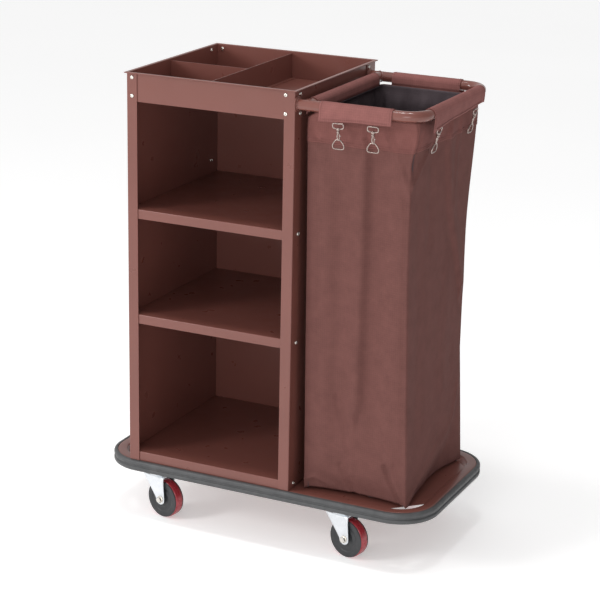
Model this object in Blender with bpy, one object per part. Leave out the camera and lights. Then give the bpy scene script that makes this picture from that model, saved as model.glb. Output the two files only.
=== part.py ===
"""Housekeeping cart: an open-fronted steel cabinet and a hanging laundry bag on a bumpered base with casters.

The origin is on the floor below the middle of the base. +X runs from the cabinet towards the bag,
+Y from the open front to the back and +Z up. Lengths are metres.
"""
import math

import bmesh
import bpy
from mathutils import Matrix, Vector

MM = 0.001
GAP = 0.3 * MM                       # air between two pieces that touch

# Base
BASE_LENGTH = 896 * MM               # over the bumper
BASE_DEPTH = 476 * MM
BASE_CORNER = 105 * MM               # radius of the bumper's outline
BUMPER_WIDTH = 9.3 * MM
RING_WIDTH = 25 * MM
RING_HEIGHT = 28 * MM
RING_WALL = 2 * MM
DECK_BELOW_RING = 3 * MM
DECK_CLIP = 71 * MM                  # leg of the deck's clipped corners
DECK_FLANGE = 20 * MM
DECK_EDGE = 0.05 * MM                # the folds stand this far inside the sheet's edge

# Casters
WHEEL_RADIUS = 50 * MM
WHEEL_HALF_WIDTH = 15 * MM
CASTER_HEIGHT = 130 * MM             # floor to the top of the mounting plate
CASTER_TRAIL = 25 * MM
CASTER_REST_ANGLE = math.radians(-15)
CASTER_X = (55 * MM, 573 * MM)       # from the cabinet's left side
CASTER_INSET = 53 * MM               # from the cabinet's front and back
PLATE_SIZE = (66 * MM, 92 * MM, 3 * MM)
CHANNEL_WIDTH = 68 * MM

# Cabinet
CABINET_WIDTH = 450 * MM
CABINET_DEPTH = 460 * MM
CABINET_HEIGHT = 998 * MM            # base ring to the tray's rim
CABINET_FROM_LEFT = 87 * MM          # from the base's left end
CABINET_FROM_FRONT = 8 * MM
POST_FACE = 28 * MM
POST_SIDE_FRONT = 36 * MM
POST_SIDE_REAR = 50 * MM
POST_WALL = 2 * MM
SHEET = 1.5 * MM
SHELF_TOPS = (24 * MM, 390 * MM, 660 * MM)
SHELF_LIP = 23.7 * MM
TRAY_DEPTH = 71 * MM
RIM_OVERHANG = 5 * MM
RIM_HEIGHT = 3 * MM
LONG_DIVIDER_X = 218 * MM
CROSS_DIVIDER_Y = 208 * MM
DIVIDER_BELOW_RIM = 5 * MM
SCREW_BELOW_RIM = (12 * MM, 57 * MM)
SCREW_INSET = (15 * MM, 24 * MM)     # left and right post, from the cabinet's sides
SCREW_SHANK = 1.5 * MM               # radius

# Bag frame
TUBE_RADIUS = 12.7 * MM
TUBE_Z = 965 * MM                    # above the base ring
TUBE_BEND = 48 * MM
TUBE_FRONT = 11 * MM                 # centre lines, from the cabinet's front or left side
TUBE_BACK = 424 * MM
TUBE_RIGHT = 761 * MM
CROSS_TUBE_X = 479 * MM
FLANGE_RADIUS = 19 * MM
FLANGE_THICKNESS = 3 * MM

# Bag
CLOTH = 2 * MM
FLAP_CLEARANCE = 0.6 * MM            # cloth to tube
BAG_TOP_BELOW_TUBE = 16.3 * MM
BAG_SHOULDER_BELOW_MOUTH = 60 * MM
BAG_SHOULDER = ((472 * MM, 749 * MM), (31 * MM, 410 * MM))
BAG_BOTTOM = ((472 * MM, 745 * MM), (41 * MM, 406 * MM))
BAG_CORNER = 30 * MM
FLAP_SPANS = {
    "front": (515 * MM, 693 * MM),
    "back": (519 * MM, 697 * MM),
    "left": (40 * MM, 388 * MM),
    "right": (64 * MM, 374 * MM),
}
FLAP_HEMS = {                        # hem below the tube's centre line, at the flap's two ends
    "front": (29 * MM, 22 * MM),
    "back": (25 * MM, 25 * MM),
    "left": (25 * MM, 25 * MM),
    "right": (40 * MM, 25 * MM),
}
HEM_PULLS = {"front": 0, "back": 0, "left": 0, "right": 6 * MM}    # towards the bag
HOOK_PLACES = {                      # along the flap, and the ring's top below the tube's centre line
    "front": ((562 * MM, 32 * MM), (649 * MM, 30 * MM)),
    "back": ((566 * MM, 28 * MM), (653 * MM, 28 * MM)),
    "left": ((104 * MM, 28 * MM), (332 * MM, 28 * MM)),
    "right": ((104 * MM, 39 * MM), (334 * MM, 36 * MM)),
}
HOOK_LENGTH = 60 * MM
HOOK_WIDTH = 27 * MM
HOOK_WIRE = 1.5 * MM
HOOK_LEANS = {"front": 4, "back": 4, "left": 1, "right": 14}    # degrees, towards the bag

# Derived places
LEFT = -BASE_LENGTH / 2 + CABINET_FROM_LEFT
FRONT = -BASE_DEPTH / 2 + CABINET_FROM_FRONT
RIGHT = LEFT + CABINET_WIDTH
BACK = FRONT + CABINET_DEPTH
BASE_BOTTOM = CASTER_HEIGHT + GAP
RING_TOP = BASE_BOTTOM + RING_HEIGHT
DECK_TOP = RING_TOP - DECK_BELOW_RING
RIM_TOP = RING_TOP + CABINET_HEIGHT
RIM_BOTTOM = RIM_TOP - RIM_HEIGHT
TRAY_BOTTOM = RIM_TOP - TRAY_DEPTH
TUBE_HEIGHT = RING_TOP + TUBE_Z
WALL_INSET = POST_WALL + GAP          # sheets lie just inside the posts

FINISHES = {                          # colour, roughness, metallic
    "brown": ((0.20, 0.085, 0.070), 0.32, 0.0),
    "cloth": ((0.17, 0.070, 0.060), 0.85, 0.0),
    "rubber": ((0.10, 0.105, 0.105), 0.65, 0.0),
    "zinc": ((0.78, 0.80, 0.82), 0.28, 1.0),
    "steel": ((0.70, 0.68, 0.64), 0.25, 1.0),
    "core": ((0.06, 0.065, 0.07), 0.5, 0.0),
    "tread": ((0.28, 0.020, 0.035), 0.35, 0.0),
}


def finish(name, kind):
    colour, roughness, metallic = FINISHES[kind]
    material = bpy.data.materials.new(name + "_finish")
    material.use_nodes = True
    shader = material.node_tree.nodes["Principled BSDF"]
    shader.inputs["Base Color"].default_value = (*colour, 1.0)
    shader.inputs["Roughness"].default_value = roughness
    shader.inputs["Metallic"].default_value = metallic
    return material


def place(name, mesh, kind, parent=None, matrix=None):
    """Put a mesh in the scene as one named piece with its own finish."""
    item = bpy.data.objects.new(name, mesh)
    bpy.context.scene.collection.objects.link(item)
    mesh.materials.clear()
    mesh.materials.append(finish(name, kind))
    if matrix is not None:
        item.matrix_basis = matrix
    item.parent = parent
    return item


def loft(name, sections, ring=False):
    """Skin a row of outlines with as many points each; close it as a ring or cap both ends."""
    shape = bmesh.new()
    rows = [[shape.verts.new(point) for point in section] for section in sections]
    pairs = list(zip(rows, rows[1:]))
    if ring:
        pairs.append((rows[-1], rows[0]))
    else:
        shape.faces.new(rows[0])
        shape.faces.new(rows[-1])
    for one, other in pairs:
        for k in range(len(one)):
            following = (k + 1) % len(one)
            shape.faces.new((one[k], one[following], other[following], other[k]))
    bmesh.ops.recalc_face_normals(shape, faces=shape.faces)
    mesh = bpy.data.meshes.new(name)
    shape.to_mesh(mesh)
    shape.free()
    mesh.shade_smooth()
    mesh.set_sharp_from_angle(angle=math.radians(32))
    return mesh


def arc(centre, radius, start, end, steps):
    """Points of an arc in a plane; the angles are degrees."""
    points = []
    for k in range(steps + 1):
        angle = math.radians(start + (end - start) * k / steps)
        points.append((centre[0] + radius * math.cos(angle), centre[1] + radius * math.sin(angle)))
    return points


def rounded_outline(x0, x1, y0, y1, radius, steps):
    """A rounded rectangle, counterclockwise from above, with the outward direction at each point."""
    points = []
    corners = ((x1 - radius, y0 + radius, -90), (x1 - radius, y1 - radius, 0),
               (x0 + radius, y1 - radius, 90), (x0 + radius, y0 + radius, 180))
    for x, y, start in corners:
        for k in range(steps + 1):
            angle = math.radians(start + 90 * k / steps)
            outward = Vector((math.cos(angle), math.sin(angle), 0))
            points.append((Vector((x, y, 0)) + outward * radius, outward))
    return points


def prism(name, outline, axis, start, end):
    """Extrude a flat outline along an axis; the outline's two coordinates are the other two axes."""
    def point(a, b, along):
        if axis == "X":
            return (along, a, b)
        if axis == "Y":
            return (a, along, b)
        return (a, b, along)
    return loft(name, [[point(a, b, along) for a, b in outline] for along in (start, end)])


def turned(name, profile, steps):
    """Turn a closed profile of (along, radius) points about the Y axis."""
    sections = []
    for k in range(steps):
        angle = 2 * math.pi * k / steps - math.pi / 2
        sections.append([(radius * math.cos(angle), along, radius * math.sin(angle)) for along, radius in profile])
    return loft(name, sections, ring=True)


def rod(name, axis, stations, steps):
    """A solid round bar along an axis; each station is (place along the axis, radius)."""
    rows = []
    for along, radius in stations:
        circle = [(radius * math.cos(2 * math.pi * k / steps), radius * math.sin(2 * math.pi * k / steps))
                  for k in range(steps)]
        rows.append([{"X": (along, a, b), "Y": (a, along, b), "Z": (a, b, along)}[axis] for a, b in circle])
    return loft(name, rows)


def cut(item, cutters):
    """Subtract cutters from a piece; the cutters stay as hidden guides."""
    for cutter in cutters:
        cutter.hide_render = True
        cutter.display_type = "WIRE"
        change = item.modifiers.new("cut", "BOOLEAN")
        change.operation = "DIFFERENCE"
        change.solver = "EXACT"
        change.object = cutter


def join(item, others):
    """Unite other shapes with a piece into one body."""
    for other in others:
        other.hide_render = True
        other.display_type = "WIRE"
        change = item.modifiers.new("join", "BOOLEAN")
        change.operation = "UNION"
        change.solver = "EXACT"
        change.object = other


def rectangle(x0, x1, y0, y1, z):
    return [(x0, y0, z), (x1, y0, z), (x1, y1, z), (x0, y1, z)]


def clipped(half_x, half_y, clip, z):
    """An octagon: a rectangle round the origin with its corners cut at 45 degrees."""
    return [(half_x - clip, -half_y, z), (half_x, -half_y + clip, z), (half_x, half_y - clip, z),
            (half_x - clip, half_y, z), (-half_x + clip, half_y, z), (-half_x, half_y - clip, z),
            (-half_x, -half_y + clip, z), (-half_x + clip, -half_y, z)]


# ---------------------------------------------------------------- base

def base_outline(inset, steps):
    """The base's rounded outline, drawn in by inset from the bumper's outer face."""
    half_x, half_y = BASE_LENGTH / 2 - inset, BASE_DEPTH / 2 - inset
    return rounded_outline(-half_x, half_x, -half_y, half_y, BASE_CORNER - inset, steps)


def swept_round_base(name, inset, profile):
    """Carry a profile of (outward, up) points round the base's outline."""
    sections = []
    for point, outward in base_outline(inset, 7):
        sections.append([point + outward * out + Vector((0, 0, BASE_BOTTOM + up)) for out, up in profile])
    return loft(name, sections, ring=True)


def make_base_ring():
    """A steel channel, open below, bent round the whole base."""
    w, h, t, r = RING_WIDTH, RING_HEIGHT, RING_WALL, 3 * MM
    profile = [(0, 0), *arc((-r, h - r), r, 0, 90, 3), *arc((-w + r, h - r), r, 90, 180, 3), (-w, 0),
               (-w + t, 0), (-w + t, h - t), (-t, h - t), (-t, 0)]
    place("base_ring", swept_round_base("base_ring", BUMPER_WIDTH + GAP, profile), "brown")


def make_bumper():
    """A rubber strip with two ribs and a groove between them."""
    w = BUMPER_WIDTH
    lower = [(0.55 * w, 0), (0.9 * w, 1.6 * MM), (w, 5 * MM), (w, 8 * MM), (0.88 * w, 11 * MM)]
    groove = [(0.66 * w, 12.4 * MM), (0.66 * w, 15.2 * MM)]
    upper = [(0.88 * w, 16.6 * MM), (w, 19.4 * MM), (w, 22.6 * MM), (0.84 * w, 26 * MM), (0.5 * w, 27.8 * MM)]
    profile = [(0, 0), *lower, *groove, *upper, (0, 27.8 * MM)]
    place("bumper", swept_round_base("bumper", w, profile), "rubber")


def deck_half_size():
    inset = BUMPER_WIDTH + GAP + RING_WIDTH + GAP
    return BASE_LENGTH / 2 - inset, BASE_DEPTH / 2 - inset


def make_deck():
    """A sheet with clipped corners; its four straight sides are folded down inside the ring."""
    hx, hy = deck_half_size()
    r = 0.4 * SHEET
    sections = [
        clipped(hx, hy, DECK_CLIP, DECK_TOP - SHEET),
        clipped(hx, hy, DECK_CLIP, DECK_TOP - r),
        clipped(hx - r, hy - r, DECK_CLIP - 0.6 * r, DECK_TOP),
    ]
    deck = place("deck_plate", loft("deck_plate", sections), "brown")
    ax, ay = hx - DECK_CLIP, hy - DECK_CLIP
    inner_x, inner_y = hx - DECK_EDGE - SHEET, hy - DECK_EDGE - SHEET
    outer_x, outer_y = hx - DECK_EDGE, hy - DECK_EDGE
    footprints = {
        "front": (-ax, ax, -outer_y, -inner_y),
        "rear": (-ax, ax, inner_y, outer_y),
        "left": (-outer_x, -inner_x, -ay, ay),
        "right": (inner_x, outer_x, -ay, ay),
    }
    levels = (DECK_TOP - DECK_FLANGE, DECK_TOP - 0.7 * SHEET)
    for side, footprint in footprints.items():
        fold = loft("deck_fold", [rectangle(*footprint, z) for z in levels])
        join(deck, [guide("deck_fold_" + side, fold, None)])


def make_caster_channels():
    """Two upturned channels under the deck, each carrying two casters."""
    _, hy = deck_half_size()
    end = hy - DECK_EDGE - SHEET - GAP
    top = DECK_TOP - SHEET - GAP
    wall = 3 * MM
    for side, x in zip(("left", "right"), CASTER_X):
        a, b = LEFT + x - CHANNEL_WIDTH / 2, LEFT + x + CHANNEL_WIDTH / 2
        outline = [(a, BASE_BOTTOM), (b, BASE_BOTTOM), (b, top), (b - wall, top), (b - wall, BASE_BOTTOM + wall),
                   (a + wall, BASE_BOTTOM + wall), (a + wall, top), (a, top)]
        name = "caster_channel_" + side
        place(name, prism(name, outline, "Y", -end, end), "brown")


# ---------------------------------------------------------------- casters
# A caster is drawn with its swivel axis on Z, its wheel trailing towards +X and its axle along Y.

FORK_TOP = CASTER_HEIGHT - PLATE_SIZE[2] - GAP
CROWN_BOTTOM = 108 * MM
CROWN_TOP = 112 * MM
LEG_INNER = WHEEL_HALF_WIDTH + 3.5 * MM
LEG_WALL = 3 * MM
LEG_TOP_HALF = 33 * MM
LEG_FOOT = 14 * MM
BOLT_RADIUS = 6 * MM
KINGPIN_RADIUS = 6 * MM
CASTER_SIDES = 20
WHEEL_SIDES = 24


def upright(name, profile, steps):
    """Turn a closed profile of (up, radius) points about the Z axis."""
    mesh = turned(name, profile, steps)
    mesh.transform(Matrix.Rotation(math.pi / 2, 4, "X"))
    return mesh


def caster_plate_mesh():
    """Mounting plate with the kingpin that the fork hangs from."""
    length, width, thickness = PLATE_SIZE
    outline = rounded_outline(-length / 2, length / 2, -width / 2, width / 2, 8 * MM, 4)
    under = CASTER_HEIGHT - thickness
    sections = [[point + Vector((0, 0, z)) for point, _ in outline] for z in (under, CASTER_HEIGHT)]
    plate = loft("caster_plate", sections)
    head = CROWN_BOTTOM - GAP
    stations = ((head - 3 * MM, 8 * MM), (head - 1.5 * MM, 10 * MM), (head, 10 * MM),
                (head, KINGPIN_RADIUS), (under + thickness / 2, KINGPIN_RADIUS))
    return plate, rod("kingpin", "Z", stations, 20)


def fork_leg_outline():
    """Side of the fork: wide under the crown, tapering to a round foot at the axle."""
    foot = arc((CASTER_TRAIL, WHEEL_RADIUS), LEG_FOOT, 0, -148, 8)
    front = (-LEG_TOP_HALF, CROWN_TOP)
    back = (LEG_TOP_HALF + 5 * MM, CROWN_TOP)
    return [back, *foot, (-LEG_TOP_HALF, CROWN_BOTTOM - 6 * MM), front]


def fork_meshes():
    """Two legs, the crown between them and the ball race on top."""
    outline = fork_leg_outline()
    legs = [prism("fork_leg", outline, "Y", side * LEG_INNER, side * (LEG_INNER + LEG_WALL)) for side in (-1, 1)]
    half = LEG_INNER + LEG_WALL / 2
    crown_outline = [(-LEG_TOP_HALF, -half), (LEG_TOP_HALF, -half), (LEG_TOP_HALF, half), (-LEG_TOP_HALF, half)]
    crown = prism("fork_crown", crown_outline, "Z", CROWN_BOTTOM, CROWN_TOP)
    inner = KINGPIN_RADIUS + GAP
    race = upright("fork_race", [
        (CROWN_BOTTOM + MM, inner + 2 * MM), (CROWN_BOTTOM + MM, 24 * MM), (CROWN_TOP + 1.5 * MM, 26 * MM),
        (CROWN_TOP + 7 * MM, 28 * MM), (FORK_TOP - 2.5 * MM, 28 * MM), (FORK_TOP, 25 * MM), (FORK_TOP, inner + 2 * MM),
    ], CASTER_SIDES)
    bore = rod("fork_bore", "Z", [(CROWN_BOTTOM - 2 * MM, inner), (FORK_TOP + 2 * MM, inner)], 20)
    return legs, crown, race, bore


def wheel_core_mesh():
    """Hub, web and the two discs that hold the tread between them."""
    bore, hub, face = BOLT_RADIUS + 0.4 * MM, 12 * MM, WHEEL_HALF_WIDTH
    disc, seat = WHEEL_RADIUS - 1.4 * MM, 38 * MM
    half = [(face + 2 * MM, bore), (face + 2 * MM, hub), (face - 1.5 * MM, hub + 2 * MM),
            (face - 1.5 * MM, 33 * MM), (face, 36 * MM), (face, disc),
            (face - 3 * MM, disc), (face - 3 * MM, seat)]
    profile = half + [(-along, radius) for along, radius in reversed(half)]
    return turned("wheel_core", profile, WHEEL_SIDES)


def wheel_tread_mesh():
    """Polyurethane tyre between the core's discs."""
    edge, seat = WHEEL_HALF_WIDTH - 3 * MM - GAP, 38 * MM + GAP
    half = [(edge, seat), (edge, WHEEL_RADIUS - MM), (edge - 2 * MM, WHEEL_RADIUS)]
    profile = half + [(-along, radius) for along, radius in reversed(half)]
    return turned("wheel_tread", profile, WHEEL_SIDES)


def axle_bolt_mesh():
    """Bolt through the fork and the wheel, with a hexagon at each end."""
    shank, head = BOLT_RADIUS, 9 * MM
    inside = LEG_INNER + LEG_WALL + GAP
    levels = ((-inside - 6 * MM, head), (-inside, head), (-inside, shank), (inside, shank), (inside, head),
              (inside + 7 * MM, head))
    sections = []
    for along, radius in levels:
        sections.append([(radius * math.cos(k * math.pi / 6) * (0.93 if k % 2 and radius == head else 1.0), along,
                          radius * math.sin(k * math.pi / 6) * (0.93 if k % 2 and radius == head else 1.0))
                         for k in range(12)])
    return loft("axle_bolt", sections)


def guide(name, mesh, parent):
    """A shape that only takes part in a Boolean."""
    item = bpy.data.objects.new(name, mesh)
    bpy.context.scene.collection.objects.link(item)
    item.parent = parent
    item.hide_render = True
    item.display_type = "WIRE"
    return item


def empty(name, location, angle=0.0, parent=None):
    """A pivot; the pieces of a moving body hang from it."""
    pivot = bpy.data.objects.new(name, None)
    bpy.context.scene.collection.objects.link(pivot)
    pivot.location = location
    pivot.rotation_euler = (0, 0, angle)
    pivot.parent = parent
    return pivot


def make_casters():
    core, tread, bolt = wheel_core_mesh(), wheel_tread_mesh(), axle_bolt_mesh()
    for depth, y in (("front", FRONT + CASTER_INSET), ("rear", BACK - CASTER_INSET)):
        for side, x in zip(("left", "right"), CASTER_X):
            corner = "_" + depth + "_" + side
            swivel = empty("swivel" + corner, (LEFT + x, y, 0), CASTER_REST_ANGLE)
            axle = empty("axle" + corner, (CASTER_TRAIL, 0, WHEEL_RADIUS), parent=swivel)
            plate, kingpin = caster_plate_mesh()
            top = place("caster_plate" + corner, plate, "zinc", matrix=Matrix.Translation((LEFT + x, y, 0)))
            join(top, [guide("kingpin" + corner, kingpin, None)])
            bpy.data.objects["kingpin" + corner].location = (LEFT + x, y, 0)
            legs, crown, race, bore = fork_meshes()
            fork = place("caster_fork" + corner, crown, "zinc", parent=swivel)
            join(fork, [guide("leg" + corner, leg, swivel) for leg in legs])
            join(fork, [guide("race" + corner, race, swivel)])
            eye = rod("eye", "Y", [(-40 * MM, BOLT_RADIUS + GAP), (40 * MM, BOLT_RADIUS + GAP)], 16)
            cut(fork, [guide("bore" + corner, bore, swivel), guide("eye" + corner, eye, axle)])
            place("wheel_core" + corner, core.copy(), "core", parent=axle)
            place("wheel_tread" + corner, tread.copy(), "tread", parent=axle)
            place("axle_bolt" + corner, bolt.copy(), "steel", parent=axle)


# ---------------------------------------------------------------- cabinet

def make_posts():
    """Four steel angles, standing on the base ring and carrying the tray's rim."""
    bottom, top = RING_TOP + GAP, RIM_BOTTOM - GAP
    r = 2.5 * MM
    for depth, y, inward, reach in (("front", FRONT, 1, POST_SIDE_FRONT), ("rear", BACK, -1, POST_SIDE_REAR)):
        for side, x, across in (("left", LEFT, 1), ("right", RIGHT, -1)):
            outline = [(POST_FACE, 0), (POST_FACE, POST_WALL), (POST_WALL, POST_WALL), (POST_WALL, reach),
                       (0, reach), *arc((r, r), r, 180, 270, 3)]
            outline = [(x + across * a, y + inward * b) for a, b in outline]
            name = "post_" + depth + "_" + side
            place(name, prism(name, outline, "Z", bottom, top), "brown")


def make_panels():
    """Two side sheets and a back sheet, inside the posts and under the tray."""
    bottom, top = RING_TOP + GAP, TRAY_BOTTOM - GAP
    a, b = WALL_INSET, WALL_INSET + SHEET
    y0, y1 = FRONT + WALL_INSET, BACK - WALL_INSET
    panels = {
        "side_panel_left": (LEFT + a, LEFT + b, y0, y1),
        "side_panel_right": (RIGHT - b, RIGHT - a, y0, y1),
        "back_panel": (LEFT + b + GAP, RIGHT - b - GAP, BACK - b, BACK - a),
    }
    for name, (x0, x1, y0, y1) in panels.items():
        mesh = loft(name, [rectangle(x0, x1, y0, y1, bottom), rectangle(x0, x1, y0, y1, top)])
        place(name, mesh, "brown")


def make_shelves():
    """Folded steel trays upside down: a flat top with a lip all round."""
    side = WALL_INSET + SHEET + GAP
    x0, x1 = LEFT + side, RIGHT - side
    y0, y1 = FRONT + WALL_INSET, BACK - side
    r = 1.8 * MM
    for name, height in zip(("bottom_shelf", "lower_shelf", "upper_shelf"), SHELF_TOPS):
        top = RING_TOP + height
        t = SHEET
        sections = [
            rectangle(x0 + t, x1 - t, y0 + t, y1 - t, top - t),
            rectangle(x0 + t, x1 - t, y0 + t, y1 - t, top - SHELF_LIP),
            rectangle(x0, x1, y0, y1, top - SHELF_LIP),
            rectangle(x0, x1, y0, y1, top - r),
            rectangle(x0 + 0.3 * r, x1 - 0.3 * r, y0 + 0.3 * r, y1 - 0.3 * r, top - 0.3 * r),
            rectangle(x0 + r, x1 - r, y0 + r, y1 - r, top),
        ]
        place(name, loft(name, sections), "brown")


def make_tray():
    """The divided top tray: four walls, a floor and a rim that covers the posts."""
    t, out, r = SHEET, RIM_OVERHANG, 1.2 * MM
    w = WALL_INSET

    def level(inset, z):
        return rectangle(LEFT + inset, RIGHT - inset, FRONT + inset, BACK - inset, z)

    sections = [
        level(w, TRAY_BOTTOM), level(w, RIM_BOTTOM), level(-out + r, RIM_BOTTOM),
        level(-out, RIM_BOTTOM + r), level(-out, RIM_TOP - r), level(-out + r, RIM_TOP),
        level(w + t - r, RIM_TOP), level(w + t, RIM_TOP - r), level(w + t, TRAY_BOTTOM + t),
    ]
    return place("tray", loft("tray", sections), "brown")


def make_dividers():
    """Folded sheets standing on the tray's floor: one from front to back, one across its left half."""
    floor, top = TRAY_BOTTOM + SHEET + GAP, RIM_TOP - DIVIDER_BELOW_RIM
    foot = 12 * MM
    inside = WALL_INSET + SHEET + GAP
    x = LEFT + LONG_DIVIDER_X
    outline = [(x, floor), (x + foot, floor), (x + foot, floor + SHEET), (x + SHEET, floor + SHEET),
               (x + SHEET, top), (x, top)]
    mesh = prism("tray_long_divider", outline, "Y", FRONT + inside, BACK - inside)
    place("tray_long_divider", mesh, "brown")
    y = FRONT + CROSS_DIVIDER_Y
    outline = [(y, floor), (y + foot, floor), (y + foot, floor + SHEET), (y + SHEET, floor + SHEET),
               (y + SHEET, top), (y, top)]
    mesh = prism("tray_cross_divider", outline, "X", LEFT + inside, x - GAP)
    place("tray_cross_divider", mesh, "brown")


def make_tray_screws(tray):
    """Four round-headed screws through the front posts into the tray's front wall."""
    shank, head = SCREW_SHANK, 5 * MM
    dome = [(0, head), (-1.2 * MM, 4.8 * MM), (-2.3 * MM, 3.6 * MM), (-3 * MM, 1.6 * MM)]
    stations = [(WALL_INSET + SHEET + 4 * MM, shank), (-GAP, shank)] + [(along - GAP, r) for along, r in dome]
    for side, x in (("left", LEFT + SCREW_INSET[0]), ("right", RIGHT - SCREW_INSET[1])):
        post = bpy.data.objects["post_front_" + side]
        for level, below in zip(("upper", "lower"), SCREW_BELOW_RIM):
            matrix = Matrix.Translation((x, FRONT, RIM_TOP - below))
            name = "tray_screw_" + side + "_" + level
            place(name, rod(name, "Y", stations, 16), "steel", matrix=matrix)
            ends = [(-5 * MM, shank + GAP), (9 * MM, shank + GAP)]
            drill = guide("drill_" + side + "_" + level, rod("drill", "Y", ends, 16), None)
            drill.matrix_basis = matrix
            cut(post, [drill])
            cut(tray, [drill])


# ---------------------------------------------------------------- bag frame

def tube_sections(path, radius, sides=16):
    """Circles square to a level path of points."""
    sections = []
    for k, point in enumerate(path):
        before, after = path[max(k - 1, 0)], path[min(k + 1, len(path) - 1)]
        along = (after - before).normalized()
        across = Vector((-along.y, along.x, 0))
        sections.append([point + across * radius * math.cos(2 * math.pi * j / sides)
                         + Vector((0, 0, radius * math.sin(2 * math.pi * j / sides))) for j in range(sides)])
    return sections


def frame_path(start_x):
    """Centre line of the U-shaped tube, from the front post round the bag to the rear post."""
    x, y0, y1 = LEFT + TUBE_RIGHT, FRONT + TUBE_FRONT, FRONT + TUBE_BACK
    points = [(start_x, y0), *arc((x - TUBE_BEND, y0 + TUBE_BEND), TUBE_BEND, -90, 0, 8),
              *arc((x - TUBE_BEND, y1 - TUBE_BEND), TUBE_BEND, 0, 90, 8), (start_x, y1)]
    return [Vector((a, b, TUBE_HEIGHT)) for a, b in points]


def make_bag_frame():
    flange_x = RIGHT + GAP
    start_x = flange_x + FLANGE_THICKNESS + GAP
    tube = loft("bag_frame_tube", tube_sections(frame_path(start_x), TUBE_RADIUS))
    place("bag_frame_tube", tube, "brown")
    for depth, y in (("front", FRONT + TUBE_FRONT), ("rear", FRONT + TUBE_BACK)):
        rim = FLANGE_RADIUS - 0.8 * MM
        stations = ((0, FLANGE_RADIUS), (2.2 * MM, FLANGE_RADIUS), (FLANGE_THICKNESS, rim))
        name = "tube_flange_" + depth
        place(name, rod(name, "X", stations, 24), "brown", matrix=Matrix.Translation((flange_x, y, TUBE_HEIGHT)))
    x = LEFT + CROSS_TUBE_X
    ends = [Vector((x, FRONT + TUBE_FRONT, TUBE_HEIGHT)), Vector((x, FRONT + TUBE_BACK, TUBE_HEIGHT))]
    cross = place("bag_cross_tube", loft("bag_cross_tube", tube_sections(ends, TUBE_RADIUS)), "brown")
    for depth, y in (("front", FRONT + TUBE_FRONT), ("rear", FRONT + TUBE_BACK)):
        line = [Vector((x - 40 * MM, y, TUBE_HEIGHT)), Vector((x + 40 * MM, y, TUBE_HEIGHT))]
        cope = loft("cope", tube_sections(line, TUBE_RADIUS + GAP))
        cut(cross, [guide("cope_" + depth, cope, None)])


# ---------------------------------------------------------------- bag

def flap_lines():
    """Each flap's tube: the direction out of the bag and the tube's place across the flap."""
    return {
        "front": ("X", -1, FRONT + TUBE_FRONT, LEFT),
        "back": ("X", 1, FRONT + TUBE_BACK, LEFT),
        "left": ("Y", -1, LEFT + CROSS_TUBE_X, FRONT),
        "right": ("Y", 1, LEFT + TUBE_RIGHT, FRONT),
    }


def make_flaps():
    """Cloth flaps, folded from the bag's mouth over the tubes."""
    inner = TUBE_RADIUS + FLAP_CLEARANCE
    outer = inner + CLOTH
    foot = -BAG_TOP_BELOW_TUBE + GAP
    for side, (axis, out, middle, start) in flap_lines().items():
        pull = HEM_PULLS[side]
        sections = []
        for along, hem in zip(FLAP_SPANS[side], FLAP_HEMS[side]):
            outline = [(outer - pull, -hem), (outer, -TUBE_RADIUS), *arc((0, 0), outer, 0, 180, 12), (-outer, foot),
                       (-inner, foot), *arc((0, 0), inner, 180, 0, 12), (inner, -TUBE_RADIUS), (inner - pull, -hem)]
            section = []
            for across, up in outline:
                place_across = middle + out * across
                level = (start + along, place_across) if axis == "X" else (place_across, start + along)
                section.append((*level, TUBE_HEIGHT + up))
            sections.append(section)
        name = "bag_flap_" + side
        place(name, loft(name, sections), "cloth")


def bag_level(bounds, inset, z):
    """The bag's outline at a height, within bounds given from the cabinet's left side and front."""
    (x0, x1), (y0, y1) = bounds
    outline = rounded_outline(LEFT + x0 + inset, LEFT + x1 - inset, FRONT + y0 + inset, FRONT + y1 - inset,
                              BAG_CORNER - inset, 5)
    return [point + Vector((0, 0, z)) for point, _ in outline]


def make_bag():
    """The bag's body: thin walls, a floor on the deck and an open mouth inside the tubes."""
    clear = TUBE_RADIUS + FLAP_CLEARANCE
    mouth = ((CROSS_TUBE_X + clear, TUBE_RIGHT - clear), (TUBE_FRONT + clear, TUBE_BACK - clear))
    bottom, top = DECK_TOP + GAP, TUBE_HEIGHT - BAG_TOP_BELOW_TUBE
    shoulder = top - BAG_SHOULDER_BELOW_MOUTH
    outside = ((BAG_BOTTOM, bottom), (BAG_SHOULDER, shoulder), (mouth, top))
    inside = ((mouth, top), (BAG_SHOULDER, shoulder), (BAG_BOTTOM, bottom + CLOTH))
    sections = [bag_level(bounds, 0, z) for bounds, z in outside]
    sections += [bag_level(bounds, CLOTH, z) for bounds, z in inside]
    place("bag_body", loft("bag_body", sections), "cloth")


def wire_loop(name, corners, radius, sides=6):
    """A closed wire ring through corners in the local XZ plane."""
    sections = []
    count = len(corners)
    middle = Vector((sum(c[0] for c in corners) / count, 0, sum(c[1] for c in corners) / count))
    for k, (x, z) in enumerate(corners):
        point = Vector((x, 0, z))
        before, after = corners[k - 1], corners[(k + 1) % count]
        along = Vector((after[0] - before[0], 0, after[1] - before[1])).normalized()
        outward = Vector((along.z, 0, -along.x))
        if outward.dot(point - middle) < 0:
            outward = -outward
        sections.append([point + outward * radius * math.cos(2 * math.pi * j / sides)
                         + Vector((0, radius * math.sin(2 * math.pi * j / sides), 0)) for j in range(sides)])
    return loft(name, sections, ring=True)


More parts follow.
